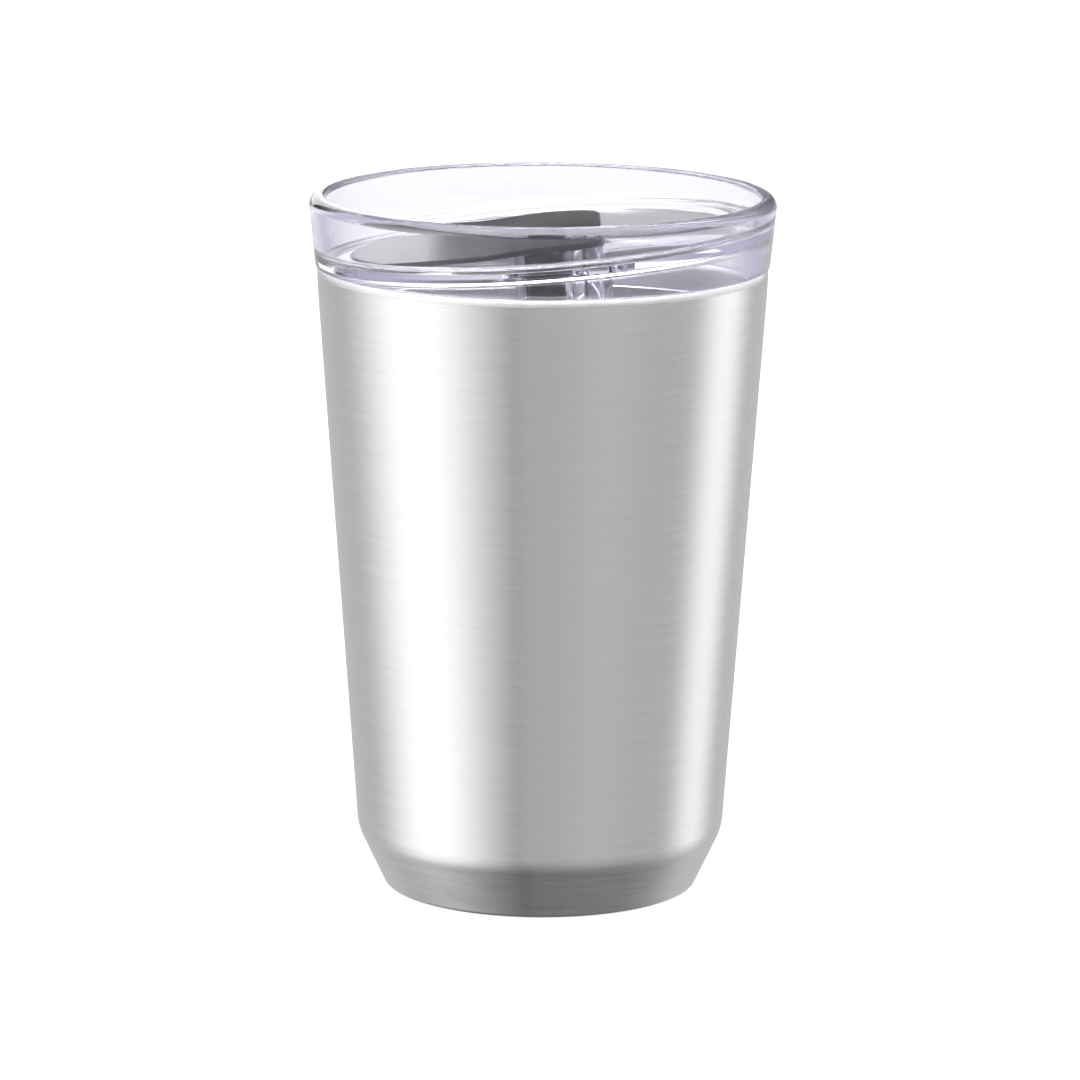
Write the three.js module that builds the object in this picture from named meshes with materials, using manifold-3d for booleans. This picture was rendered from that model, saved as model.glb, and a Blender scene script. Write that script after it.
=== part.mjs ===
// Insulated travel tumbler: a double-walled steel cup, a clear push-fit lid whose drinking well has
// a sloping floor, and a dark drink plug that turns on a central stem to cover or bare the opening.
// Millimetres, +Z up. The origin is the centre of the foot, and the drink opening is on the -X side.
import * as THREE from "three";
import { mergeVertices } from "three/addons/utils/BufferGeometryUtils.js";
import Module from "manifold-3d";

const wasm = await Module();
wasm.setup();

// ---------------------------------------------------------------- driving dimensions
const HEIGHT = 129.1; // foot to drinking rim
const RIM_R = 42.75; // lid, outside, at its rim
const LIP_Z = 115.9; // top of the steel lip, which carries the lid
const LIP_R = 41.3; // steel, outside, at the lip
const CREASE_Z = 10.8; // where the wall turns into the chamfer above the foot
const CREASE_R = 33.9;
const CHAMFER = THREE.MathUtils.degToRad(25.3); // lean of the chamfer from upright
const FOOT_ROUND = 1.2; // radius between the chamfer and the flat ring that it stands on
const STEEL = 0.5; // sheet thickness of both shells
const SLOPE = THREE.MathUtils.degToRad(4.75); // the well floor rises towards +X
const PLATE_Z = 121.7; // well floor's rim land, on the cup's axis
const PLATE_T = 2.1; // thickness of the sloping floor at its land
const RECESS = 0.9; // depth of the round recess that the plug turns in
const RECESS_R = 35.2;
const RUN = 0.3; // running gap between the plug and what it turns past
const FIT = 0.1; // gap between neighbours that don't move

// ---------------------------------------------------------------- what follows from them
const GAP_Z = LIP_Z + RUN; // underside of the lid's rim wall
const SEGMENTS = 48; // sides of a large round
const SMALL_SEGMENTS = 24; // sides of a small round
const WALL_TOP_R = LIP_R - 0.23; // the wall leaves its taper and stands up just under the lip
const WALL_TOP_Z = LIP_Z - 6;
const ROLL = 0.8; // radius of the rolled lip
const SEAM_Z = LIP_Z - ROLL - 0.3; // where the two shells are welded together
const FLANGE_R = 26.6; // inside of the outer shell's turned-in flange, which takes the vacuum cap
const FLANGE_TOP = 2.6;
const FLANGE_ROUND = 0.6;
const CREASE_SOFT = 1.3; // how far the crease's round reaches each way
const VESSEL = { floor: 7, corner: 8, wallR: 30.6 }; // inner vessel, inside, at the bottom
const SHOULDER = { low: new THREE.Vector2(37.2, 100.5), high: new THREE.Vector2(39.25, 105.2) };
const CAP = { low: 0.5, top: 3, corner: 0.5, dimpleR: 4.3, dimpleTopR: 3.3, dimpleTop: 4, holeR: 1 };
const BEAD = { low: 2.9, r: 2.4, round: 0.5, top: 3.8 }; // hangs from the dimple's ceiling
const GETTER = { r: 4, low: 3.8, high: 5.4, u: 13 };
const COVER = { r: 25.8, low: 0.9, middle: 1.3, corner: 0.6, rim: 2.2 }; // base plate

// Lid
const RIM_T = 2.8; // thickness of the rim wall at its top
const RIM_ROUND = 1.9; // radius of the rim's outer edge, which the mouth meets
const RIM_EDGE = 0.6; // radius of its inner edge
const WALL_LOW_R = RIM_R - 1.05; // outside of the rim wall, just above its lower edge
const WELL_R = 39.6; // drinking well at its floor
const BORE_R = 37.3; // inside of the skirt
const SKIRT_Z = 104.9; // bottom of the skirt
const SKIRT_R = 38.8; // outside of the skirt at the lip, narrowing downwards
const SKIRT_TAPER = 0.3; // how much narrower it is at the bottom
const GROOVE = { low: 107.4, high: 111, r: 38.05 }; // holds the gasket
const GASKET = { back: 38.6, lip: 39.2, lips: [108.3, 109.9] }; // its back, its lips' edges, their heights
const BOSS_R = 5.6;
const BOSS_BORE_R = 3.85;
const BOSS_LOW = -11.2; // all plug and boss heights are above the land, along the plate's normal
const COUNTERBORE = { r: 5.2, depth: 0.9 };
const VENT = { u: 8.7, r: 1.2, tubeR: 3.4 };
const SLOT = { inner: 27.6, outer: 33.4, halfAngle: THREE.MathUtils.degToRad(18), corner: 2 };

// Plug
const PLUG_R = RECESS_R - RUN;
const PLUG_HALF = 20.5; // half its width at the arc
const TAB_HALF = 18.5; // half its width at the tab's end
const TAB_END = 10.7; // how far the tab reaches past the stem
const TAB_CORNER = 6;
const LEAF_TOP = 0.3;
const LEAF_LOW = -RECESS + RUN;
const STEM_R = 2.2;
const HUB = { r: 4.2, top: 0.7 }; // joins the stem to the leaf
const STEM_LOW = -12.2; // shoulder of the tip that keeps the sleeve on
const TIP = { r: 3.4, low: -13.4 };
const PAD = { inner: 26.4, outer: 34.3, halfAngle: THREE.MathUtils.degToRad(23), corner: 2.4 };
const PAD_LOW = -RECESS + FIT;
const PAD_TOP = LEAF_LOW + 0.4;
const DOT = { r: 2.4, top: 0.35 }; // vent pad
const BEYOND = 1; // how far a cutting solid reaches past what it cuts

// ---------------------------------------------------------------- shape helpers
const v2 = (x, y) => new THREE.Vector2(x, y);

// Points of an arc about (cx, cy) from angle a to b in degrees, both ends included.
function arc(cx, cy, r, a, b, steps) {
  return Array.from({ length: steps + 1 }, (_, i) => {
    const t = THREE.MathUtils.degToRad(a + ((b - a) * i) / steps);
    return v2(cx + r * Math.cos(t), cy + r * Math.sin(t));
  });
}

// A smooth run of points from one to another that leaves and arrives along Z.
function easeZ(from, to, steps) {
  return Array.from({ length: steps + 1 }, (_, i) => {
    const t = i / steps;
    return v2(from.x + (to.x - from.x) * t * t * (3 - 2 * t), from.y + (to.y - from.y) * t);
  });
}

// The path moved sideways by d, to its left where d is positive.
function offset(path, d) {
  return path.map((p, i) => {
    const before = p.clone().sub(path[Math.max(i - 1, 0)]).normalize();
    const after = path[Math.min(i + 1, path.length - 1)].clone().sub(p).normalize();
    const along = before.clone().add(after).normalize();
    const turn = Math.max(0.5, before.lengthSq() && after.lengthSq() ? along.dot(after) : 1);
    return v2(p.x - (along.y * d) / turn, p.y + (along.x * d) / turn);
  });
}

// The closed outline of a sheet laid on a path: to the path's left where t is positive.
function sheet(path, t) {
  const other = offset(path, t);
  return t > 0 ? [...path, ...other.reverse()] : [...other, ...path.slice().reverse()];
}

// A solid of revolution about Z from an outline of (radius, height) that runs up its outside.
function turned(outline, segments = SEGMENTS) {
  const onAxis = outline[0].x === 0 && outline[outline.length - 1].x === 0;
  const points = onAxis ? outline : [...outline, outline[0]];
  return new THREE.LatheGeometry(points, segments).rotateX(Math.PI / 2);
}

// A flat outline in X and Y raised from z = low to z = high.
function raised(outline, low, high) {
  const shape = new THREE.Shape(outline);
  const options = { depth: high - low, bevelEnabled: false, steps: 1 };
  return new THREE.ExtrudeGeometry(shape, options).translate(0, 0, low);
}

// A round bar along Z, centred on (x, 0).
function bar(r, low, high, x = 0, segments = SMALL_SEGMENTS) {
  return turned([v2(0, low), v2(r, low), v2(r, high), v2(0, high)], segments).translate(x, 0, 0);
}

// The outline of a slot that follows a circle, with rounded corners, about the -X direction.
function arcSlot({ inner, outer, halfAngle, corner }) {
  const half = THREE.MathUtils.radToDeg(halfAngle);
  const outerTurn = THREE.MathUtils.radToDeg(Math.asin(corner / (outer - corner)));
  const innerTurn = THREE.MathUtils.radToDeg(Math.asin(corner / (inner + corner)));
  const cornerAt = (radius, angle, from) => {
    const c = arc(0, 0, radius, angle, angle, 1)[0];
    return arc(c.x, c.y, corner, from, from + 90, 3);
  };
  return [
    ...arc(0, 0, outer, 180 - half + outerTurn, 180 + half - outerTurn, 8),
    ...cornerAt(outer - corner, 180 + half - outerTurn, 180 + half),
    ...cornerAt(inner + corner, 180 + half - innerTurn, 270 + half),
    ...arc(0, 0, inner, 180 + half - innerTurn, 180 - half + innerTurn, 8),
    ...cornerAt(inner + corner, 180 - half + innerTurn, -half),
    ...cornerAt(outer - corner, 180 - half + outerTurn, 90 - half),
  ].filter((p, i, all) => i === 0 || p.distanceTo(all[i - 1]) > 0.05);
}

// A closed mesh as a manifold-3d solid, and back.
function solid(geometry) {
  const bare = new THREE.BufferGeometry();
  bare.setAttribute("position", geometry.getAttribute("position").clone());
  bare.setIndex(geometry.index);
  const merged = mergeVertices(bare, 1e-4);
  const index = merged.index.array;
  const kept = [];
  for (let i = 0; i < index.length; i += 3) {
    const [a, b, c] = index.slice(i, i + 3);
    if (a !== b && b !== c && c !== a) kept.push(a, b, c);
  }
  const vertProperties = merged.attributes.position.array;
  const triVerts = new Uint32Array(kept);
  return new wasm.Manifold(new wasm.Mesh({ numProp: 3, vertProperties, triVerts }));
}

function geometryOf(manifold) {
  const mesh = manifold.getMesh();
  const geometry = new THREE.BufferGeometry();
  geometry.setAttribute("position", new THREE.BufferAttribute(mesh.vertProperties, 3));
  geometry.setIndex(new THREE.BufferAttribute(mesh.triVerts, 1));
  geometry.computeVertexNormals();
  return geometry;
}

const joined = (...geometries) => geometries.map(solid).reduce((a, b) => a.add(b));

// Puts geometry drawn in the sloping floor's own frame in place: there, the land is z = 0.
const onPlate = (geometry) => geometry.clone().rotateY(-SLOPE).translate(0, 0, PLATE_Z);

// ---------------------------------------------------------------- materials
const material = (color, roughness, metalness, more = {}) =>
  new THREE.MeshStandardMaterial({ color, roughness, metalness, ...more });
const brushedSteel = material(0xb4b4b2, 0.32, 1);
const polishedSteel = material(0xc4c4c2, 0.12, 1);
const clearPlastic = material(0xe6e6f4, 0.05, 0, { transparent: true, opacity: 0.35 });
const smokedPlastic = material(0x2a2a2d, 0.3, 0);
const darkSilicone = material(0x1c1b22, 0.6, 0);
const paleSilicone = material(0xdfe2e6, 0.5, 0, { transparent: true, opacity: 0.8 });
const sealAlloy = material(0x8a8c90, 0.5, 0.6);
const getterMetal = material(0x6f6a62, 0.8, 0.4);

// ---------------------------------------------------------------- steel cup
// Outer wall: up-turned flange at the base, rounded foot, chamfer, soft crease, tapered wall.
function outerShell() {
  const lean = THREE.MathUtils.radToDeg(CHAMFER);
  const rise = CREASE_Z - FOOT_ROUND;
  const footR = CREASE_R - (FOOT_ROUND + rise * Math.sin(CHAMFER)) / Math.cos(CHAMFER);
  const taper = (WALL_TOP_R - CREASE_R) / (WALL_TOP_Z - CREASE_Z);
  const path = [
    v2(FLANGE_R, FLANGE_TOP),
    ...arc(FLANGE_R + FLANGE_ROUND, FLANGE_ROUND, FLANGE_ROUND, 180, 270, 2),
    ...arc(footR, FOOT_ROUND, FOOT_ROUND, -90, -lean, 3),
    v2(CREASE_R - CREASE_SOFT * Math.sin(CHAMFER), CREASE_Z - CREASE_SOFT * Math.cos(CHAMFER)),
    v2(CREASE_R - FIT, CREASE_Z),
    v2(CREASE_R + CREASE_SOFT * taper, CREASE_Z + CREASE_SOFT),
    v2((CREASE_R + WALL_TOP_R) / 2, (CREASE_Z + WALL_TOP_Z) / 2),
    v2(WALL_TOP_R, WALL_TOP_Z),
    v2((WALL_TOP_R + LIP_R) / 2, (WALL_TOP_Z + SEAM_Z) / 2),
    v2(LIP_R, SEAM_Z - FIT),
  ];
  return turned(sheet(path, STEEL));
}

// Inner vessel: round-cornered floor, tapered wall, a shoulder out to the lid's seat, rolled lip.
function innerVessel() {
  const { floor, corner, wallR } = VESSEL;
  const path = [
    v2(0, floor),
    ...arc(wallR - corner, floor + corner, corner, -90, 0, 4),
    ...easeZ(SHOULDER.low, SHOULDER.high, 3),
    ...arc(LIP_R - ROLL, LIP_Z - ROLL, ROLL, 180, 0, 5),
    v2(LIP_R, SEAM_Z),
  ];
  const outline = sheet(path, -STEEL);
  outline[0].x = 0;
  return turned(outline);
}

// Pressed cap that closes the outer wall's base, with a raised dimple round the evacuation hole.
function vacuumCap() {
  const rim = FLANGE_R - 2 * FIT - STEEL;
  const path = [
    v2(rim, CAP.low),
    ...arc(rim - CAP.corner, CAP.top - CAP.corner, CAP.corner, 0, 90, 2),
    v2(CAP.dimpleR, CAP.top),
    v2(CAP.dimpleTopR, CAP.dimpleTop),
    v2(CAP.holeR, CAP.dimpleTop),
  ];
  return turned(sheet(path, -STEEL));
}

// Bead that seals the evacuation hole from below.
function sealBead() {
  const { low, r, round, top } = BEAD;
  const outline = [v2(0, low), ...arc(r - round, low + round, round, -90, 0, 2), v2(r, top), v2(0, top)];
  return turned(outline, SMALL_SEGMENTS);
}

// Getter capsule in the vacuum, beside the dimple.
const getter = () => bar(GETTER.r, GETTER.low, GETTER.high, GETTER.u);

// Thin cover disc seen from below: it hides the bead.
function basePlate() {
  const { r, low, middle, corner, rim } = COVER;
  const path = [
    v2(0, middle),
    v2(r - 2 * corner, low),
    ...arc(r - corner, low + corner, corner, -90, 0, 2),
    v2(r, rim),
  ];
  const outline = sheet(path, STEEL);
  outline[outline.length - 1].x = 0;
  return turned(outline);
}

// ---------------------------------------------------------------- lid
// Rim wall, skirt with its gasket groove, and the sloping floor with the plug's recess, its boss,
// the drink opening and the vent, all one clear moulding.
function lidShell() {
  const rim = solid(
    turned([
      v2(SKIRT_R, GAP_Z),
      v2(WALL_LOW_R - 2 * FIT, GAP_Z),
      v2(WALL_LOW_R, GAP_Z + RUN),
      ...arc(RIM_R - RIM_ROUND, HEIGHT - RIM_ROUND, RIM_ROUND, 0, 90, 4),
      ...arc(RIM_R - RIM_T + RIM_EDGE, HEIGHT - RIM_EDGE, RIM_EDGE, 90, 180, 2),
      v2(WELL_R, PLATE_Z),
    ]),
  );
  const bottomR = SKIRT_R - SKIRT_TAPER;
  const wallMiddle = (WELL_R + SKIRT_R) / 2;
  const skirt = solid(
    turned([
      v2(BORE_R, SKIRT_Z),
      v2(bottomR - RUN, SKIRT_Z),
      v2(bottomR, SKIRT_Z + RUN),
      v2(bottomR, GROOVE.low),
      v2(GROOVE.r, GROOVE.low),
      v2(GROOVE.r, GROOVE.high),
      v2(SKIRT_R - SKIRT_TAPER / 2, GROOVE.high),
      v2(SKIRT_R, GAP_Z),
      v2(wallMiddle, GAP_Z),
      v2(wallMiddle, HEIGHT),
      v2(BORE_R, HEIGHT),
    ]),
  );
  const belowLand = onPlate(new THREE.BoxGeometry(HEIGHT, HEIGHT, HEIGHT).translate(0, 0, -HEIGHT / 2));
  const floor = onPlate(bar((WELL_R + BORE_R) / 2, -PLATE_T, 0, 0, SEGMENTS));
  const boss = onPlate(bar(BOSS_R, BOSS_LOW, -RECESS));
  const ventTube = onPlate(bar(VENT.tubeR, BOSS_LOW, -RECESS, VENT.u));
  const cuts = joined(
    onPlate(bar(RECESS_R, -RECESS, BEYOND, 0, SEGMENTS)),
    onPlate(bar(BOSS_BORE_R, BOSS_LOW - BEYOND, BEYOND)),
    onPlate(bar(COUNTERBORE.r, -RECESS - COUNTERBORE.depth, BEYOND)),
    onPlate(bar(VENT.r, BOSS_LOW - BEYOND, BEYOND, VENT.u, SMALL_SEGMENTS)),
    onPlate(raised(arcSlot(SLOT), -PLATE_T - BEYOND, BEYOND)),
  );
  const lower = skirt.intersect(solid(belowLand));
  return geometryOf(rim.add(lower).add(joined(floor, boss, ventTube)).subtract(cuts));
}

// Silicone ring in the skirt's groove, with two lips that press on the cup's bore.
function lidGasket() {
  const inner = GROOVE.r + FIT;
  const { back, lip, lips } = GASKET;
  const lipAt = (z) => [v2(back, z - 0.5), v2(lip, z + 0.35), v2(lip, z + 0.6), v2(back, z + 0.4)];
  return turned([
    v2(inner, GROOVE.low + FIT),
    v2(back - FIT, GROOVE.low + FIT),
    ...lips.flatMap(lipAt),
    v2(back, GROOVE.high - FIT),
    v2(inner, GROOVE.high - FIT),
  ]);
}

// ---------------------------------------------------------------- drink plug
// Top of the plug above the land, from its arc end to its tab, and the sheet's thickness below it.
const CREST_U = 2;
const RISE_U = -14;
const CREST_TOP = 1.2;
const TAB_TOP = 1.15;
const TAB_T = 1.1;

function plugTop(u) {
  if (u <= RISE_U) return LEAF_TOP;
  if (u >= CREST_U) return THREE.MathUtils.mapLinear(u, CREST_U, TAB_END, CREST_TOP, TAB_TOP);
  return THREE.MathUtils.lerp(LEAF_TOP, CREST_TOP, THREE.MathUtils.smoothstep(u, RISE_U, CREST_U));
}

// The plug's outline from above: an arc end that fits the recess, nearly straight sides, a square
// tab end with rounded corners.
function plugOutline() {
  const half = THREE.MathUtils.radToDeg(Math.asin(PLUG_HALF / PLUG_R));
  const centre = v2(TAB_END - TAB_CORNER, TAB_HALF - TAB_CORNER);
  return [
    ...arc(0, 0, PLUG_R, 180 - half, 180 + half, 16),
    ...arc(centre.x, -centre.y, TAB_CORNER, -90, 0, 6),
    ...arc(centre.x, centre.y, TAB_CORNER, 0, 90, 6),
  ];
}

function plugLow(u) {
  return plugTop(u) - (u <= RISE_U ? LEAF_TOP - LEAF_LOW : TAB_T);
}

function drinkPlug() {
  const steps = 8;
  const riseAt = (_, i) => THREE.MathUtils.lerp(RISE_U, CREST_U, i / steps);
  const rising = Array.from({ length: steps + 1 }, riseAt);
  const stations = [-PLUG_R - BEYOND, ...rising, TAB_END + BEYOND];
  const side = [
    ...stations.map((u) => v2(u, plugTop(u))),
    ...stations.toReversed().map((u) => v2(u, plugLow(u))),
  ];
  const profile = solid(raised(side, -PLUG_R, PLUG_R).rotateX(Math.PI / 2));
  const leaf = solid(raised(plugOutline(), -RECESS_R, RECESS_R)).intersect(profile);
  const stem = turned(
    [
      v2(0, TIP.low),
      v2(STEM_R, TIP.low),
      v2(TIP.r, STEM_LOW),
      v2(TIP.r, STEM_LOW + FIT),
      v2(STEM_R, STEM_LOW + FIT),
      v2(STEM_R, HUB.top),
      v2(0, HUB.top),
    ],
    SMALL_SEGMENTS,
  );
  const hub = solid(bar(HUB.r, LEAF_LOW, HUB.top));
  const padRoom = { ...PAD, inner: PAD.inner - FIT, outer: PAD.outer + FIT };
  const pockets = joined(
    raised(arcSlot(padRoom), -RECESS, PAD_TOP + FIT),
    bar(DOT.r + FIT, -RECESS, DOT.top + FIT, VENT.u),
  );
  return onPlate(geometryOf(leaf.add(hub).subtract(pockets).add(solid(stem))));
}

// Silicone pad under the plug's arc end, over the drink opening.
const sealPad = () => onPlate(raised(arcSlot(PAD), PAD_LOW, PAD_TOP));

// Silicone dot under the tab, over the vent.
const ventPad = () => onPlate(bar(DOT.r, PAD_LOW, DOT.top, VENT.u));

// Silicone sleeve between the stem and the lid's boss, with a flange in the boss's counterbore.
function stemSleeve() {
  const low = STEM_LOW + 2 * FIT;
  const chamfer = 0.4;
  const outer = BOSS_BORE_R - 2 * FIT;
  const bore = STEM_R + 0.15;
  const flangeR = COUNTERBORE.r - 2 * FIT;
  const flangeLow = -RECESS - COUNTERBORE.depth + FIT;
  const outline = [
    v2(bore, low),
    v2(outer - chamfer, low),
    v2(outer, low + chamfer),
    v2(outer, flangeLow),
    v2(flangeR, flangeLow),
    v2(flangeR, -RECESS - FIT),
    v2(bore, -RECESS - FIT),
  ];
  return onPlate(turned(outline, SMALL_SEGMENTS));
}

// ---------------------------------------------------------------- assembly
const tumbler = new THREE.Group();

function add(name, geometry, finish) {
  const mesh = new THREE.Mesh(geometry, finish);
  mesh.name = name;
  tumbler.add(mesh);
}

add("outer_shell", outerShell(), brushedSteel);
add("inner_vessel", innerVessel(), polishedSteel);
add("vacuum_cap", vacuumCap(), polishedSteel);
add("seal_bead", sealBead(), sealAlloy);
add("getter", getter(), getterMetal);
add("base_plate", basePlate(), brushedSteel);
add("lid_shell", lidShell(), clearPlastic);
add("lid_gasket", lidGasket(), paleSilicone);
add("drink_plug", drinkPlug(), smokedPlastic);
add("seal_pad", sealPad(), darkSilicone);
add("vent_pad", ventPad(), darkSilicone);
add("stem_sleeve", stemSleeve(), darkSilicone);

export default tumbler;
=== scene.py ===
"""An insulated travel tumbler: a brushed steel cup, a clear push-fit lid with a sloping well floor,
and a dark drink plug that turns on a stem.

Lengths here are in millimetres in the CAD model's frame; the functions that make meshes turn them
into Blender's metres. The -X side is the drinking side.
"""
import math

import bmesh
import bpy
from mathutils import Matrix, Vector

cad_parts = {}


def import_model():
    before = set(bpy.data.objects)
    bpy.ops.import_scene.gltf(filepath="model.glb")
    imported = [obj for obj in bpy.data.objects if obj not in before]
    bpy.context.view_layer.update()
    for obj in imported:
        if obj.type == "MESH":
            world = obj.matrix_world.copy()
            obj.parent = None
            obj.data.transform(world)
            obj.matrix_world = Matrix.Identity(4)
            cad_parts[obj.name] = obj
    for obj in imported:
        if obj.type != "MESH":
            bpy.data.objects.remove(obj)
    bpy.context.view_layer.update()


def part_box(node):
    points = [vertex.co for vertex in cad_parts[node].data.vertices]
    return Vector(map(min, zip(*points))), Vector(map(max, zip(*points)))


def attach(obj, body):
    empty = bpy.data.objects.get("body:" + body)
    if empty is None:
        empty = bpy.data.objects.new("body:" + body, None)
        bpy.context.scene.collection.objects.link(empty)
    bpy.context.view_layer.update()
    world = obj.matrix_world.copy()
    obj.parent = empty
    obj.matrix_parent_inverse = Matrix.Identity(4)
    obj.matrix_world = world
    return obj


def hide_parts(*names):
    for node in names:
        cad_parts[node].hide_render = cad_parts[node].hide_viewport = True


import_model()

# ------------------------------------------------------------------ sizes
MM = 0.001
FINE_ROUND = 512  # sides of the clear lid, whose bent light shows every facet
ROUND = 256  # sides of a large round
SMALL_ROUND = 96  # sides of a small round


def top_of(node):
    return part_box(node)[1].z / MM


def widest(node):
    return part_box(node)[1].x / MM


HEIGHT = top_of("lid_shell")
RIM_R = widest("lid_shell")
LIP_Z = 115.9
LIP_R = widest("outer_shell")
SLOPE = math.radians(4.75)
PLATE_Z = 121.7
PLATE_T = 2.1
RECESS = 0.9
RECESS_R = 35.2
BASE_R = 26.6  # inside of the outer shell's turned-in flange
STEEL = 0.5

PLATE = Matrix.Translation((0, 0, PLATE_Z)) @ Matrix.Rotation(-SLOPE, 4, "Y")


# ------------------------------------------------------------------ outlines
def arc(cx, cy, r, start, end, steps):
    """Points round (cx, cy) from one angle to another, in degrees, both ends included."""
    turns = [math.radians(start + (end - start) * i / steps) for i in range(steps + 1)]
    return [(cx + r * math.cos(t), cy + r * math.sin(t)) for t in turns]


def rounded(corners, closed=False, steps=6):
    """The path through (x, y, radius) corners, each drawn as an arc of its radius."""
    path = []
    count = len(corners)
    for i, (x, y, radius) in enumerate(corners):
        here = Vector((x, y))
        at_end = not closed and i in (0, count - 1)
        if radius == 0 or at_end:
            path.append((x, y))
            continue
        before = (Vector(corners[i - 1][:2]) - here).normalized()
        after = (Vector(corners[(i + 1) % count][:2]) - here).normalized()
        half = before.angle(after) / 2
        centre = here + (before + after).normalized() * (radius / math.sin(half))
        first = here + before * (radius / math.tan(half)) - centre
        last = here + after * (radius / math.tan(half)) - centre
        turn = math.atan2(first.cross(last), first.dot(last))
        for k in range(steps + 1):
            path.append(tuple(centre + Matrix.Rotation(turn * k / steps, 2) @ first))
    return path


def offset(path, distance):
    """The path moved sideways, to its left where the distance is positive."""
    moved = []
    for i, point in enumerate(path):
        here = Vector(point)
        before = (here - Vector(path[max(i - 1, 0)])).normalized()
        after = (Vector(path[min(i + 1, len(path) - 1)]) - here).normalized()
        along = (before + after).normalized()
        stretch = max(0.5, along.dot(after if after.length else before))
        moved.append(tuple(here + Vector((-along.y, along.x)) * (distance / stretch)))
    return moved


def sheet(path, thickness):
    """The closed outline of a sheet laid on a path, on its left where the thickness is positive."""
    return path + offset(path, thickness)[::-1]


# ------------------------------------------------------------------ meshes
def in_metres(matrix):
    """The matrix with its shift, which is in millimetres, turned into metres."""
    scaled = matrix.copy()
    scaled.translation *= MM
    return scaled


def new_object(name, verts, faces, matrix=None, sharp=35):
    mesh = bpy.data.meshes.new(name)
    mesh.from_pydata([Vector(v) * MM for v in verts], [], faces)
    mesh.validate()
    work = bmesh.new()
    work.from_mesh(mesh)
    bmesh.ops.remove_doubles(work, verts=work.verts, dist=1e-7)
    bmesh.ops.recalc_face_normals(work, faces=work.faces)
    work.to_mesh(mesh)
    work.free()
    if matrix is not None:
        mesh.transform(in_metres(matrix))
    piece = bpy.data.objects.new(name, mesh)
    bpy.context.scene.collection.objects.link(piece)
    smooth(piece, sharp)
    return piece


def smooth(piece, sharp=35):
    piece.data.shade_smooth()
    piece.data.set_sharp_from_angle(angle=math.radians(sharp))


def weigh_normals(piece):
    """Keeps broad faces' shading true beside their narrow rounded edges."""
    piece.modifiers.new("weigh normals", "WEIGHTED_NORMAL").keep_sharp = True


def loft(name, section, sides, closed=True, **how):
    """A solid of revolution in kind: section(angle) gives the outline's points at that azimuth, as
    (x, y, z). The outline is closed, or starts and ends on the axis."""
    rings = [section(2 * math.pi * i / sides) for i in range(sides)]
    size = len(rings[0])
    verts = [p for ring in rings for p in ring]
    faces = []
    for i in range(sides):
        here, there = i * size, (i + 1) % sides * size
        for k in range(size if closed else size - 1):
            after = (k + 1) % size
            faces.append((here + k, there + k, there + after, here + after))
    return new_object(name, verts, faces, **how)


def lathe(name, outline, sides=ROUND, **how):
    """A solid of revolution about Z from an outline of (radius, height)."""
    on_axis = abs(outline[0][0]) < 1e-9 and abs(outline[-1][0]) < 1e-9

    def section(angle):
        return [(r * math.cos(angle), r * math.sin(angle), z) for r, z in outline]

    return loft(name, section, sides, closed=not on_axis, **how)


def normals_of(outline):
    """Each point's outward normal on a closed outline that runs anticlockwise."""
    count = len(outline)
    found = []
    for i in range(count):
        along = Vector(outline[(i + 1) % count]) - Vector(outline[i - 1])
        found.append(Vector((along.y, -along.x)).normalized())
    return found


def edge_rows(edge, steps):
    """The rows of points on a flat piece's rounded side, from its underside to its top: how far each
    row is inset, whether it is measured from the underside (0) or the top (1), and its lift from there."""
    turns = [math.pi / 2 * i / steps for i in range(steps + 1)]
    lower = [(edge * (1 - math.sin(t)), 0, edge * (1 - math.cos(t))) for t in turns]
    return lower + [(inset, 1, -lift) for inset, _, lift in reversed(lower)]


def bands(rows, size):
    """The faces between rows of points, each of which is a closed outline."""
    faces = []
    for row in range(rows - 1):
        here, above = row * size, (row + 1) * size
        for k in range(size):
            after = (k + 1) % size
            faces.append((here + k, here + after, above + after, above + k))
    return faces


def slab(name, outline, low, high, edge, matrix=None):
    """A flat piece of the outline's shape with rounded edges."""
    normals = normals_of(outline)
    rows = edge_rows(edge, 4)
    verts = [
        (*(Vector(point) - normal * inset), (low, high)[side] + lift)
        for inset, side, lift in rows
        for point, normal in zip(outline, normals)
    ]
    size = len(outline)
    top_row = (len(rows) - 1) * size
    caps = [tuple(range(size))[::-1], tuple(range(top_row, top_row + size))]
    return new_object(name, verts, caps + bands(len(rows), size), matrix)


def combine(piece, tool, operation):
    """Cuts or joins with another mesh, which is used up with its object."""
    step = piece.modifiers.new(operation.lower(), "BOOLEAN")
    step.operation = operation
    step.solver = "EXACT"
    step.object = tool
    graph = bpy.context.evaluated_depsgraph_get()
    made = bpy.data.meshes.new_from_object(piece.evaluated_get(graph))
    piece.modifiers.remove(step)
    old, piece.data = piece.data, made
    bpy.data.meshes.remove(old)
    bpy.data.meshes.remove(tool.data)
    smooth(piece)


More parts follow.
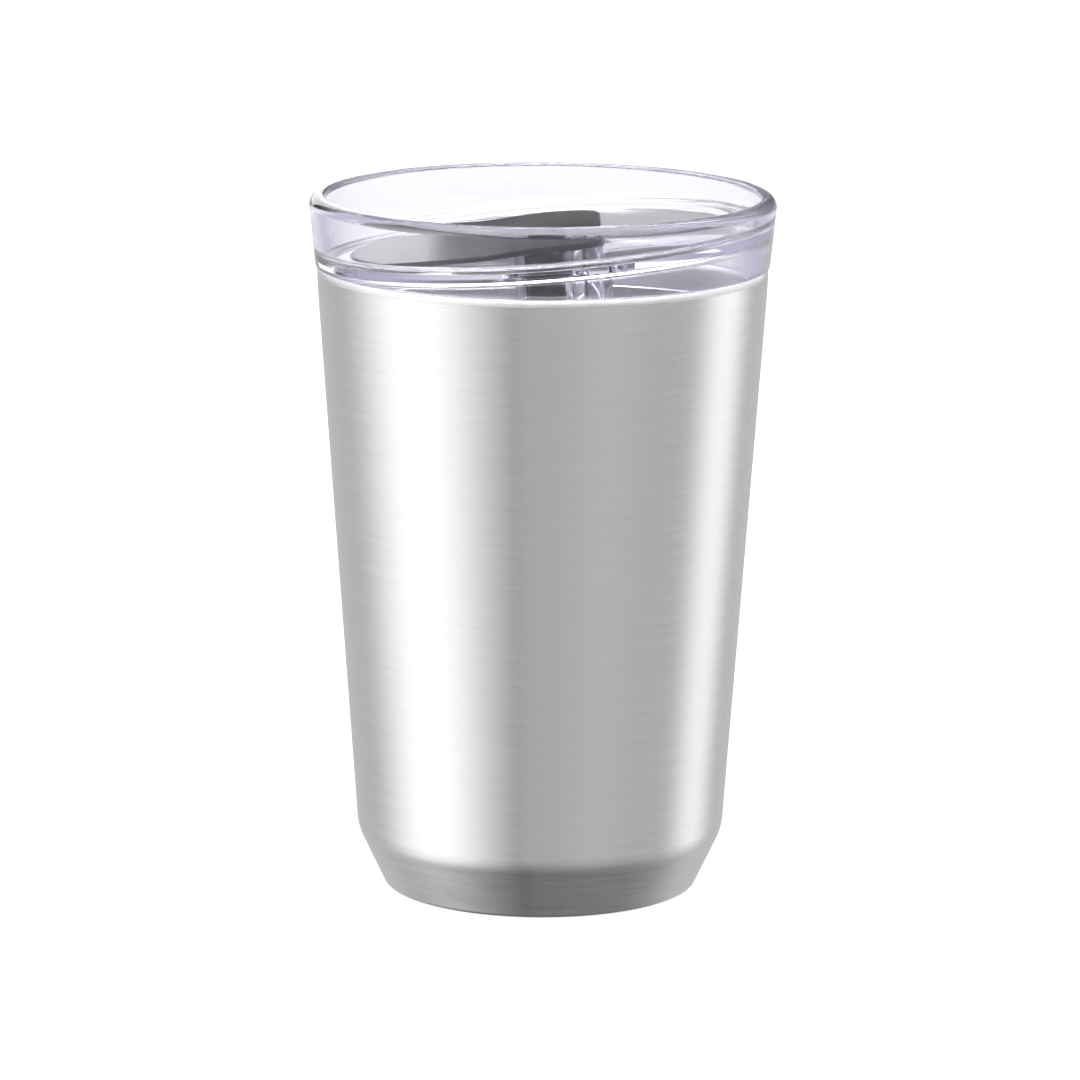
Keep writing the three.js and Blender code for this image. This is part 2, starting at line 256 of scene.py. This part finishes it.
def arc_slot(inner, outer, half_angle, corner, steps=24):
    """The outline of a slot that follows a circle, centred on -X, with rounded corners."""
    outer_turn = math.degrees(math.asin(corner / (outer - corner)))
    inner_turn = math.degrees(math.asin(corner / (inner + corner)))

    def corner_at(radius, angle, start):
        centre = arc(0, 0, radius, angle, angle, 1)[0]
        return arc(*centre, corner, start, start + 90, 8)

    low, high = 180 - half_angle, 180 + half_angle
    path = [
        *arc(0, 0, outer, low + outer_turn, high - outer_turn, steps),
        *corner_at(outer - corner, high - outer_turn, high),
        *corner_at(inner + corner, high - inner_turn, 90 + high),
        *arc(0, 0, inner, high - inner_turn, low + inner_turn, steps),
        *corner_at(inner + corner, low + inner_turn, -half_angle),
        *corner_at(outer - corner, low + outer_turn, 90 - half_angle),
    ]
    return [p for i, p in enumerate(path) if math.dist(p, path[i - 1]) > 1e-3]


# ------------------------------------------------------------------ materials
def node(tree, kind, **values):
    """A shader node; each value is a property of the node or the name of one of its inputs, with
    underscores for spaces, and may be another node's output."""
    made = tree.nodes.new(kind)
    for name, value in values.items():
        if hasattr(made, name):
            setattr(made, name, value)
            continue
        socket = made.inputs[int(name[1:])] if name[0] == "_" else made.inputs[name.replace("_", " ")]
        if isinstance(value, bpy.types.NodeSocket):
            tree.links.new(value, socket)
        else:
            socket.default_value = value
    return made


def new_material(name, **sockets):
    """A material with a Principled BSDF whose inputs are set by name, and its node tree."""
    material = bpy.data.materials.new(name)
    material.use_nodes = True
    tree = material.node_tree
    shader = tree.nodes["Principled BSDF"]
    for socket, value in sockets.items():
        shader.inputs[socket.replace("_", " ")].default_value = value
    return material, tree, shader


COOL = (1, 1, 1.04)  # tint of the dark plastic


def grey(value, tint=(1, 1, 1)):
    return (*(value * t for t in tint), 1)


def object_place(tree, scale=(1, 1, 1)):
    """Coordinates fixed to the piece, in metres times the scale."""
    place = node(tree, "ShaderNodeTexCoord").outputs["Object"]
    return node(tree, "ShaderNodeMapping", Vector=place, Scale=scale).outputs["Vector"]


def noise(tree, scale, place, detail=2.0, rough=0.5):
    made = node(tree, "ShaderNodeTexNoise", Vector=place, Scale=scale, Detail=detail, Roughness=rough)
    return made.outputs["Fac"]


def spread(tree, value, low, high):
    """A noise's middle range, 0.3 to 0.7, spread over low to high."""
    made = node(
        tree, "ShaderNodeMapRange", Value=value, From_Min=0.3, From_Max=0.7, To_Min=low, To_Max=high
    )
    return made.outputs["Result"]


def maths(tree, operation, *values):
    """A Math node's result for one to three values."""
    inputs = dict(zip(("_0", "_1", "_2"), values))
    return node(tree, "ShaderNodeMath", operation=operation, **inputs).outputs[0]


def blend(tree, share, low, high):
    """The colour between two others, each a value or another node's output."""
    return node(tree, "ShaderNodeMix", data_type="RGBA", _0=share, _6=low, _7=high).outputs[2]


def mottled(tree, shader, value, low, high):
    """Gives the base colour two shades that follow a noise."""
    shade = node(tree, "ShaderNodeValToRGB", Fac=value)
    shade.color_ramp.elements[0].color = low
    shade.color_ramp.elements[1].color = high
    tree.links.new(shade.outputs["Color"], shader.inputs["Base Color"])


def bump(tree, shader, height, depth_mm, strength=1.0):
    made = node(tree, "ShaderNodeBump", Height=height, Distance=depth_mm * MM, Strength=strength)
    tree.links.new(made.outputs["Normal"], shader.inputs["Normal"])


def brushed_steel(name, lightness, roughness, streak_scale):
    """Steel brushed round its axis: fine streaks that run a few millimetres round the wall."""
    material, tree, shader = new_material(
        name, Metallic=1.0, Anisotropic=0.7, Anisotropic_Rotation=0.25
    )
    tangent = node(tree, "ShaderNodeTangent", direction_type="RADIAL", axis="Z")
    tree.links.new(tangent.outputs["Tangent"], shader.inputs["Tangent"])
    fine = noise(tree, 1, object_place(tree, streak_scale), 3, 0.6)
    coarse = noise(tree, 0.35, object_place(tree, streak_scale), 2)
    mean = maths(tree, "MULTIPLY", maths(tree, "ADD", fine, coarse), 0.5)
    colour = blend(tree, spread(tree, mean, 0, 1), grey(lightness * 0.93), grey(lightness * 1.05))
    tree.links.new(colour, shader.inputs["Base Color"])
    tree.links.new(spread(tree, mean, roughness * 0.85, roughness * 1.15), shader.inputs["Roughness"])
    bump(tree, shader, mean, 0.004)
    return material


def clear_plastic():
    """Clear moulded plastic with a faint lilac cast where it is thick."""
    material, tree, shader = new_material(
        "clear plastic",
        Base_Color=(0.945, 0.94, 0.975, 1), Roughness=0.02, IOR=1.53, Transmission_Weight=1.0,
    )
    waviness = noise(tree, 1, object_place(tree, (90, 90, 40)), 1)
    bump(tree, shader, waviness, 0.02, 0.3)
    depth = node(tree, "ShaderNodeVolumeAbsorption", Color=(0.62, 0.61, 0.73, 1), Density=12.0)
    tree.links.new(depth.outputs["Volume"], tree.nodes["Material Output"].inputs["Volume"])
    return material


def smoked_plastic():
    """Dark grey plastic from a finely textured mould."""
    material, tree, shader = new_material("smoked plastic", Specular_IOR_Level=0.4, IOR=1.5)
    mould = noise(tree, 2600, object_place(tree), 3, 0.6)
    cloud = noise(tree, 140, object_place(tree), 2)
    mottled(tree, shader, cloud, grey(0.02, COOL), grey(0.028, COOL))
    tree.links.new(spread(tree, mould, 0.2, 0.28), shader.inputs["Roughness"])
    bump(tree, shader, mould, 0.01, 0.5)
    return material


def silicone(name, colour, roughness, clear=0.0):
    """Moulded silicone, with a faint mottle and a matte skin."""
    material, tree, shader = new_material(name, IOR=1.41, Transmission_Weight=clear)
    skin = noise(tree, 1800, object_place(tree), 3, 0.6)
    mottled(tree, shader, noise(tree, 220, object_place(tree), 2), grey(0.9, colour), grey(1, colour))
    tree.links.new(spread(tree, skin, roughness - 0.06, roughness + 0.06), shader.inputs["Roughness"])
    bump(tree, shader, skin, 0.01, 0.5)
    return material


def dull_metal(name, colour, grain):
    """Cast or sintered metal with a grain of its own."""
    material, tree, shader = new_material(name, Metallic=0.8)
    grains = noise(tree, grain, object_place(tree), 4, 0.7)
    mottled(tree, shader, grains, grey(0.6, colour), grey(1, colour))
    tree.links.new(spread(tree, grains, 0.4, 0.7), shader.inputs["Roughness"])
    bump(tree, shader, grains, 0.03, 0.6)
    return material


def place_piece(piece, material, body, stands_for, slot):
    piece.data.materials.clear()
    piece.data.materials.append(material)
    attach(piece, body)
    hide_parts(stands_for)


# ------------------------------------------------------------------ steel cup
SEAM_Z = LIP_Z - 1.1  # the shells' weld, just under the rolled lip
CREASE = (33.9, 10.8)  # where the wall turns into the chamfer above the foot
CHAMFER = math.radians(25.3)
FOOT_ROUND = 1.2
ROLL = 0.8  # radius of the rolled lip
VESSEL_R, VESSEL_FLOOR = 30.3, 7  # inside
SHOULDER_LOW, SHOULDER_HIGH = (37.2, 100.5), (39.3, 106)
CAP_TOP, DIMPLE_TOP, DIMPLE_R, HOLE_R = 3, 4, 3.3, 1
BEAD_R, BEAD_ROUND = 2.4, 0.5
GETTER_R, GETTER_U, GETTER_Z = 4, 13, (3.8, 5.4)
COVER_R, COVER_LOW, COVER_MIDDLE, COVER_RIM = 25.8, 0.9, 1.3, 2.2
foot_edge = CREASE[0] - (FOOT_ROUND + (CREASE[1] - FOOT_ROUND) * math.sin(CHAMFER)) / math.cos(CHAMFER)


def outer_shell():
    lean = math.degrees(CHAMFER)
    foot = arc(foot_edge, FOOT_ROUND, FOOT_ROUND, -90, -lean, 12)
    wall_top = (LIP_R - 0.23, LIP_Z - 6)
    wall = rounded(
        [
            (*foot[-1], 0),
            (*CREASE, 9),
            (*wall_top, 30),
            (LIP_R - 0.06, LIP_Z - 3, 20),
            (LIP_R, SEAM_Z - 0.02, 0),
        ],
        steps=10,
    )
    flange = rounded([(BASE_R, 2.6, 0), (BASE_R, 0, 0.6), (foot_edge, 0, 0)])
    return lathe("outer_wall", sheet(flange[:-1] + foot + wall[1:], STEEL))


def inner_vessel():
    path = rounded(
        [
            (0, VESSEL_FLOOR, 0),
            (VESSEL_R, VESSEL_FLOOR, 8),
            (*SHOULDER_LOW, 8),
            (*SHOULDER_HIGH, 10),
            (39.7, LIP_Z - ROLL, 0),
        ],
        steps=14,
    )
    lip = arc(LIP_R - ROLL, LIP_Z - ROLL, ROLL, 180, 0, 18)
    outline = sheet(path[:-1] + lip + [(LIP_R, SEAM_Z)], -STEEL)
    outline = [(0, VESSEL_FLOOR), *outline[1:-1], (0, VESSEL_FLOOR - STEEL)]
    return lathe("inner_cup", outline)


def vacuum_cap():
    """A shallow dish, open downwards, with the evacuation hole in the dimple at its middle."""
    rim = BASE_R - 0.2 - STEEL
    path = rounded(
        [
            (rim, 0.5, 0),
            (rim, CAP_TOP, 0.5),
            (DIMPLE_R + 1, CAP_TOP, 0.6),
            (DIMPLE_R, DIMPLE_TOP, 0.4),
            (HOLE_R, DIMPLE_TOP, 0),
        ]
    )
    return lathe("vacuum_closure", sheet(path, -STEEL), SMALL_ROUND * 2)


def seal_bead():
    """Hangs in the dimple, over its hole."""
    top, low = DIMPLE_TOP - 0.2, DIMPLE_TOP - 1.1
    side = arc(BEAD_R - BEAD_ROUND, low + BEAD_ROUND, BEAD_ROUND, -90, 0, 8)
    return lathe("braze_bead", [(0, low), *side, (BEAD_R, top), (0, top)], SMALL_ROUND)


def getter():
    low, high = GETTER_Z
    outline = rounded([(0, low, 0), (GETTER_R, low, 0.3), (GETTER_R, high, 0.3), (0, high, 0)])
    return lathe("getter_capsule", outline, SMALL_ROUND, matrix=Matrix.Translation((GETTER_U, 0, 0)))


def base_plate():
    """A disc that is dished upwards a little, with a rim turned up."""
    path = rounded(
        [(0, COVER_MIDDLE, 0), (20, 1.1, 60), (COVER_R, COVER_LOW, 0.6), (COVER_R, COVER_RIM, 0)]
    )
    outline = sheet(path, STEEL)
    return lathe("base_disc", [*outline[:-1], (0, COVER_MIDDLE + STEEL)])


# ------------------------------------------------------------------ lid
WELL_R = 39.6
WELL_TOP_R = RIM_R - 2.8
RIM_ROUND, RIM_EDGE = 1.9, 0.6  # radii of the rim's outer and inner edges
LEDGE_Z = LIP_Z + 0.3
BORE_R = 37.3
SKIRT_Z = 104.9
SKIRT_R = 38.8
GROOVE_R, GROOVE_LOW, GROOVE_HIGH = 38.05, 107.4, 111
BOSS_R, BOSS_BORE_R, BOSS_LOW = 5.6, 3.85, -11.2
COUNTERBORE_R, COUNTERBORE = 5.2, 0.9
VENT_U, VENT_R, VENT_TUBE_R = 8.7, 1.2, 3.4
SLOT = (27.6, 33.4, 18, 2)  # the drink opening: inner and outer radius, half its angle, its corners
PAD = (26.4, 34.3, 23, 2.4)  # the pad over it, in the same order
DOT_R = 2.4  # the pad over the vent
GASKET_R, GASKET_LIP_R, GASKET_LIPS = 38.6, 39.2, (108.3, 109.9)


def corner_arc(corner, towards_a, towards_b, radius, steps=8):
    """The arc that rounds a corner between two directions."""
    ends = [tuple(Vector(corner) + Vector(way) * 50) for way in (towards_a, towards_b)]
    points = [(*ends[0], 0), (*corner, radius), (*ends[1], 0)]
    return rounded(points, steps=steps)[1:-1]


def lid_section(angle):
    """The lid's outline at an azimuth: tilted rows follow the well floor, upright ones the wall."""
    cos, sin = math.cos(angle), math.sin(angle)
    rise = math.tan(SLOPE) * cos

    def tilted(path):
        return [PLATE @ Vector((u * cos, u * sin, h)) for u, h in path]

    def upright(path):
        return [Vector((r * cos, r * sin, z)) for r, z in path]

    along_floor = Vector((-1, -rise)).normalized()
    below = PLATE_T / math.cos(SLOPE)
    lean = (WELL_TOP_R - WELL_R) / (HEIGHT - RIM_EDGE - PLATE_Z)
    floor_z = PLATE_Z + rise * WELL_R
    well_corner = (WELL_R + (floor_z - PLATE_Z) * lean, floor_z)
    under_corner = (BORE_R, PLATE_Z + rise * BORE_R - below)
    bore = rounded(
        [
            (BOSS_BORE_R, BOSS_LOW, 0),
            (BOSS_BORE_R, -RECESS - COUNTERBORE, 0.15),
            (COUNTERBORE_R, -RECESS - COUNTERBORE, 0.15),
            (COUNTERBORE_R, -RECESS, 0.15),
            (RECESS_R, -RECESS, 0.3),
            (RECESS_R, 0, 0.25),
            (RECESS_R + 1.5, 0, 0),
        ],
        steps=4,
    )
    wall = [
        *corner_arc(well_corner, along_floor, (lean, 1), 1.3),
        *arc(WELL_TOP_R + RIM_EDGE, HEIGHT - RIM_EDGE, RIM_EDGE, 180, 90, 8),
        *arc(RIM_R - RIM_ROUND, HEIGHT - RIM_ROUND, RIM_ROUND, 90, 0, 14),
    ]
    outside = rounded(
        [
            (RIM_R, HEIGHT - RIM_ROUND, 0),
            (41.65, LEDGE_Z, 0.3),
            (SKIRT_R, LEDGE_Z, 0.3),
            (SKIRT_R - 0.14, GROOVE_HIGH, 0.12),
            (GROOVE_R, GROOVE_HIGH, 0.12),
            (GROOVE_R, GROOVE_LOW, 0.12),
            (SKIRT_R - 0.24, GROOVE_LOW, 0.12),
            (SKIRT_R - 0.3, SKIRT_Z, 0.5),
            (BORE_R, SKIRT_Z, 0.4),
            (*under_corner, 0),
        ],
        steps=4,
    )
    under = corner_arc(under_corner, (0, -1), along_floor, 1.2)
    boss = rounded(
        [(30, -PLATE_T, 0), (BOSS_R, -PLATE_T, 0.6), (BOSS_R, BOSS_LOW, 0.25), (BOSS_BORE_R, BOSS_LOW, 0)],
        steps=4,
    )
    return tilted(bore) + upright(wall + outside[1:-1] + under) + tilted(boss[:-1])


def on_plate_bar(radius, low, high, u=0):
    """A round bar that stands on the sloping floor, a distance up it from the stem."""
    outline = [(0, low), (radius, low), (radius, high), (0, high)]
    return lathe("tool", outline, SMALL_ROUND, matrix=PLATE @ Matrix.Translation((u, 0, 0)))


def lid_shell():
    piece = loft("lid_moulding", lid_section, FINE_ROUND)
    tube = on_plate_bar(VENT_TUBE_R, BOSS_LOW + 0.02, -RECESS - 0.4, VENT_U)
    combine(piece, tube, "UNION")
    combine(piece, on_plate_bar(BOSS_BORE_R, BOSS_LOW - 1, -RECESS - COUNTERBORE), "DIFFERENCE")
    combine(piece, on_plate_bar(VENT_R, BOSS_LOW - 1, 1, VENT_U), "DIFFERENCE")
    combine(piece, slab("tool", arc_slot(*SLOT), -4, 2, 0.01, PLATE), "DIFFERENCE")
    return piece


def lid_gasket():
    """A ring in the skirt's groove, with two lips that lean upwards."""
    inner = GROOVE_R + 0.1
    lips = []
    for z in GASKET_LIPS:
        lips += [
            (GASKET_R, z - 0.5, 0.2),
            (GASKET_LIP_R, z + 0.4, 0.12),
            (GASKET_LIP_R - 0.1, z + 0.7, 0.1),
            (GASKET_R, z + 0.4, 0.15),
        ]
    outline = [
        (inner, GROOVE_LOW + 0.1, 0.1),
        (GASKET_R - 0.1, GROOVE_LOW + 0.1, 0.2),
        *lips,
        (GASKET_R, GROOVE_HIGH - 0.1, 0.2),
        (inner, GROOVE_HIGH - 0.1, 0.1),
    ]
    return lathe("gasket_ring", rounded(outline, closed=True, steps=4))


# ------------------------------------------------------------------ drink plug
PLUG_R = RECESS_R - 0.3
PLUG_HALF, TAB_HALF, TAB_END, TAB_CORNER = 20.5, 18.5, 10.7, 6
RISE_U, CREST_U = -14, 2
LEAF_TOP, LEAF_LOW = 0.3, 0.3 - RECESS
PAD_LOW = 0.1 - RECESS  # underside of both silicone pads
CREST_TOP, TAB_TOP, TAB_T = 1.2, 1.15, 1.1
STEM_R, HUB_R, HUB_TOP = 2.2, 4.2, 0.7
TIP_R, TIP_LOW, TIP_SHOULDER = 3.4, -13.4, -12.1  # the tip's shoulder keeps the sleeve on
ARC_CORNER = 2  # rounds the two corners of the plug's arc end, seen from above
EDGE = 0.28  # rounds its upper and lower edges


def plug_heights(u):
    """The plug's top and underside above the land, at a distance past the stem."""
    if u >= CREST_U:
        top = CREST_TOP + (TAB_TOP - CREST_TOP) * (u - CREST_U) / (TAB_END - CREST_U)
        return top, top - TAB_T
    t = min(max((u - RISE_U) / (CREST_U - RISE_U), 0), 1)
    share = t * t * (3 - 2 * t)
    return LEAF_TOP + (CREST_TOP - LEAF_TOP) * share, LEAF_LOW + (CREST_TOP - TAB_T - LEAF_LOW) * share


def plug_edge():
    """The right half of the plug's outline from above, from its arc's middle to its tab's middle."""
    half = math.degrees(math.asin(PLUG_HALF / PLUG_R))
    round_end = arc(0, 0, PLUG_R, 180, 180 + half, 40)
    tab_corner = arc(TAB_END - TAB_CORNER, -(TAB_HALF - TAB_CORNER), TAB_CORNER, -90, 0, 16)
    arc_corner = (*round_end[-1], ARC_CORNER)
    near_corner = rounded([(*round_end[-4], 0), arc_corner, (*tab_corner[0], 0)], steps=8)[1:-1]
    start, end = Vector(near_corner[-1]), Vector(tab_corner[0])
    side = [tuple(start.lerp(end, i / 40)) for i in range(1, 40)]
    tab_end = [(TAB_END, tab_corner[-1][1] * (1 - i / 6)) for i in range(1, 7)]
    return round_end[:-3] + near_corner + side + tab_corner + tab_end


def rungs(near_count, size, base):
    """The faces across a row of points, from the outline's near edge to its far one."""
    faces = []
    for k in range(near_count - 1):
        far, far_after = base + (size - k) % size, base + (size - k - 1) % size
        corners = (base + k, base + k + 1, far_after, far)
        faces.append(tuple(dict.fromkeys(corners)))
    return faces


def plug_leaf():
    near = plug_edge()
    far = [(u, -y) for u, y in near[1:-1]]
    outline = near + far[::-1]
    rows = edge_rows(EDGE, 5)
    verts = []
    for inset, side, lift in rows:
        for point, normal in zip(outline, normals_of(outline)):
            u, y = Vector(point) - normal * inset
            top, low = plug_heights(u)
            verts.append((u, y, (low, top)[side] + lift))
    size = len(outline)
    faces = bands(len(rows), size)
    for base in (0, (len(rows) - 1) * size):
        faces += rungs(len(near), size, base)
    return new_object("turning_plug", verts, faces, PLATE)


def plug_stem():
    """The stem, with the tip under it that keeps the sleeve on and the hub that joins it to the leaf."""
    outline = rounded(
        [
            (0, TIP_LOW, 0),
            (STEM_R, TIP_LOW, 0.3),
            (TIP_R, TIP_SHOULDER - 0.1, 0.04),
            (TIP_R, TIP_SHOULDER, 0.04),
            (STEM_R, TIP_SHOULDER, 0.04),
            (STEM_R, LEAF_LOW - 0.02, 0),
            (HUB_R, LEAF_LOW - 0.02, 0.1),
            (HUB_R, HUB_TOP, 0),
            (0, HUB_TOP, 0),
        ],
        steps=4,
    )
    return lathe("tool", outline, SMALL_ROUND, matrix=PLATE)


def drink_plug():
    piece = plug_leaf()
    combine(piece, plug_stem(), "UNION")
    return piece


def seal_pad():
    return slab("drink_pad", arc_slot(*PAD), PAD_LOW, LEAF_LOW - 0.01, 0.12, PLATE)


def vent_pad():
    outline = arc(VENT_U, 0, DOT_R, 0, 360, 48)[:-1]
    return slab("vent_dot", outline, PAD_LOW, 0.03, 0.15, PLATE)


def stem_sleeve():
    """A sleeve round the stem, with a flange in the boss's counterbore."""
    low, outer, bore = TIP_SHOULDER + 0.1, BOSS_BORE_R - 0.2, STEM_R + 0.15
    flange = COUNTERBORE_R - 0.2
    shelf, top = -RECESS - COUNTERBORE + 0.1, -RECESS - 0.1
    outline = rounded(
        [
            (bore, low, 0.1),
            (outer, low, 0.4),
            (outer, shelf, 0.1),
            (flange, shelf, 0.15),
            (flange, top, 0.15),
            (bore, top, 0.1),
        ],
        closed=True,
        steps=4,
    )
    return lathe("stem_bush", outline, SMALL_ROUND, matrix=PLATE)


# ------------------------------------------------------------------ the object
def build_tumbler():
    body_steel = brushed_steel("brushed steel", 0.62, 0.3, (150, 150, 3600))
    base_steel = brushed_steel("brushed base steel", 0.62, 0.3, (900, 900, 900))
    # The satin steel's base is far lighter than the outer steel's, 0.92 against 0.62: painted light, so
    # the cup's inside looks brightly lit
    satin_steel_with_painted_light = brushed_steel("satin steel with painted light", 0.92, 0.75, (30, 30, 1500))
    smoked, clear = smoked_plastic(), clear_plastic()
    dark = silicone("dark silicone", (0.022, 0.022, 0.026), 0.5)
    pale = silicone("pale silicone", (0.78, 0.79, 0.82), 0.45, 0.35)
    pieces = [
        (outer_shell, body_steel, "cup", "brushed_steel"),
        (inner_vessel, satin_steel_with_painted_light, "cup", "polished_steel"),
        (vacuum_cap, satin_steel_with_painted_light, "cup", "polished_steel"),
        (seal_bead, dull_metal("braze", (0.42, 0.4, 0.37), 900), "cup", "braze"),
        (getter, dull_metal("sintered metal", (0.3, 0.29, 0.27), 2500), "cup", "getter_metal"),
        (base_plate, base_steel, "cup", "brushed_steel"),
        (lid_shell, clear, "lid", "clear_plastic"),
        (lid_gasket, pale, "lid", "pale_silicone"),
        (drink_plug, smoked, "plug", "smoked_plastic"),
        (seal_pad, dark, "plug", "dark_silicone"),
        (vent_pad, dark, "plug", "dark_silicone"),
        (stem_sleeve, dark, "plug_bush", "dark_silicone"),
    ]
    for make, material, body, slot in pieces:
        piece = make()
        weigh_normals(piece)
        place_piece(piece, material, body, make.__name__, slot)


# ------------------------------------------------------------------ studio
def floor():
    """A white floor that glows, so that hardly any shadow shows on it. From below it isn't there, nor in
    reflections or through the lid."""
    mesh = bpy.data.meshes.new("floor")
    mesh.from_pydata([(-20, -20, 0), (20, -20, 0), (20, 20, 0), (-20, 20, 0)], [], [(0, 1, 2, 3)])
    ground = bpy.data.objects.new("floor", mesh)
    bpy.context.scene.collection.objects.link(ground)
    material, tree, shader = new_material(
        "floor", Base_Color=grey(0.9), Roughness=0.8, Emission_Color=grey(1), Emission_Strength=0.6,
    )
    from_below = node(tree, "ShaderNodeNewGeometry").outputs["Backfacing"]
    clear = node(tree, "ShaderNodeBsdfTransparent").outputs[0]
    shown = node(tree, "ShaderNodeMixShader", _0=from_below, _1=shader.outputs[0], _2=clear)
    tree.links.new(shown.outputs[0], tree.nodes["Material Output"].inputs["Surface"])
    mesh.materials.append(material)
    ground.visible_glossy = False
    ground.visible_transmission = False


def ramp(tree, value, start, end, low=0.0, high=1.0):
    """low where the value is under start, high where it is over end, and smooth between."""
    made = node(
        tree, "ShaderNodeMapRange", interpolation_type="SMOOTHSTEP", Value=value,
        From_Min=start, From_Max=end, To_Min=low, To_Max=high,
    )
    return made.outputs["Result"]


def reflected_studio(tree, turn, height):
    """What the steel and the plug mirror: grey all round with tall soft panels on the left and right,
    and dark behind."""
    # Each panel: its azimuth, half its width, the width of its soft edge, its strength, and the
    # heights over which its foot fades in.
    panels = [
        (-70, 31, 26, 1.15, -0.96, -0.5),
        (109.5, 15, 13, 1.05, -0.65, -0.2),
        (35, 16, 14, 0.1, -1.0, -0.2),
        (-15, 3, 3, -0.19, -1.0, -0.9),
    ]
    level = maths(tree, "MULTIPLY", ramp(tree, height, -0.85, -0.5, 0.3, 1.0), 0.69)
    for centre, half, soft, strength, foot, full in panels:
        away = maths(tree, "ABSOLUTE", maths(tree, "SUBTRACT", turn, float(centre)))
        panel = ramp(tree, away, float(half - soft), float(half + soft), strength, 0.0)
        level = maths(tree, "MULTIPLY_ADD", panel, ramp(tree, height, foot, full), level)
    behind = ramp(tree, maths(tree, "ABSOLUTE", turn), 125.0, 150.0)
    dim = maths(tree, "MULTIPLY", behind, ramp(tree, height, -0.05, 0.1, 0.0, 0.85))
    return maths(tree, "MULTIPLY", level, maths(tree, "SUBTRACT", 1.0, dim))


LILAC = (0.56, 0.54, 0.68, 1)


def refracted_studio(tree, turn, height):
    """What shows through the clear lid: a white floor straight behind it, under a dark wall, dim lilac
    all round, and a bright ceiling that is brightest straight overhead."""
    behind = ramp(tree, maths(tree, "ABSOLUTE", turn), 145.0, 172.0)
    wall = ramp(tree, height, -0.06, 0.08, 1.1, 0.22)
    wall_grey = node(tree, "ShaderNodeCombineXYZ", X=wall, Y=wall, Z=wall).outputs[0]
    lower = blend(tree, behind, LILAC, wall_grey)
    overhead = ramp(tree, height, 0.85, 0.97, 0.0, 18.0)
    ceiling = maths(tree, "ADD", ramp(tree, height, 0.4, 0.7, 0.0, 3.0), overhead)
    return node(tree, "ShaderNodeVectorMath", operation="ADD", _0=lower, _1=ceiling).outputs[0]


def world():
    """A pale studio, worked out from a direction's azimuth (0 in front of the tumbler, right positive)
    and its height, on a background that the camera sees as white."""
    sky = bpy.data.worlds.new("studio")
    bpy.context.scene.world = sky
    sky.use_nodes = True
    tree = sky.node_tree
    way = node(tree, "ShaderNodeTexCoord").outputs["Generated"]
    axes = node(tree, "ShaderNodeSeparateXYZ", Vector=way)
    height = axes.outputs["Z"]
    turn = maths(tree, "ARCTAN2", axes.outputs["X"], maths(tree, "MULTIPLY", axes.outputs["Y"], -1.0))
    turn = maths(tree, "DEGREES", turn)
    ray = node(tree, "ShaderNodeLightPath").outputs
    colour = reflected_studio(tree, turn, height)
    for kind, other in (
        ("Is Transmission Ray", refracted_studio(tree, turn, height)),
        ("Is Camera Ray", grey(1)),
    ):
        colour = blend(tree, ray[kind], colour, other)
    tree.links.new(colour, tree.nodes["Background"].inputs["Color"])


def sheen_card():
    """A soft card behind the lid, on the left, whose reflection lightens the low end of the plug."""
    light = bpy.data.lights.new("sheen card", "AREA")
    light.shape = "RECTANGLE"
    light.size, light.size_y = 0.08, 0.07
    light.energy = 0.032
    card = bpy.data.objects.new("sheen card", light)
    place = Vector((-0.066, 0.14, 0.165))
    card.location = place
    card.rotation_euler = (Vector((-0.02, 0, 0.12)) - place).to_track_quat("-Z", "Y").to_euler()
    card.visible_camera = False
    card.visible_diffuse = False
    bpy.context.scene.collection.objects.link(card)


def light_paths():
    """Enough bounces for light to find its way through the lid's clear walls."""
    cycles = bpy.context.scene.cycles
    cycles.max_bounces = 32
    cycles.transmission_bounces = 32
    cycles.glossy_bounces = 16


def camera():
    """Over a metre in front, looking down a little, through a long lens, and leaning slightly."""
    place = Vector((-0.00025, -1.1, 0.2911))
    look_down, lean = math.radians(11.64), math.radians(0.29)
    data = bpy.data.cameras.new("camera")
    data.lens = 202.5
    data.sensor_width = 36
    eye = bpy.data.objects.new("camera", data)
    tilt = Matrix.Rotation(math.pi / 2 - look_down, 4, "X")
    eye.matrix_world = Matrix.Translation(place) @ tilt @ Matrix.Rotation(lean, 4, "Z")
    bpy.context.scene.collection.objects.link(eye)
    bpy.context.scene.camera = eye
    bpy.context.scene.view_settings.view_transform = "Standard"


build_tumbler()
floor()
world()
sheen_card()
light_paths()
camera()
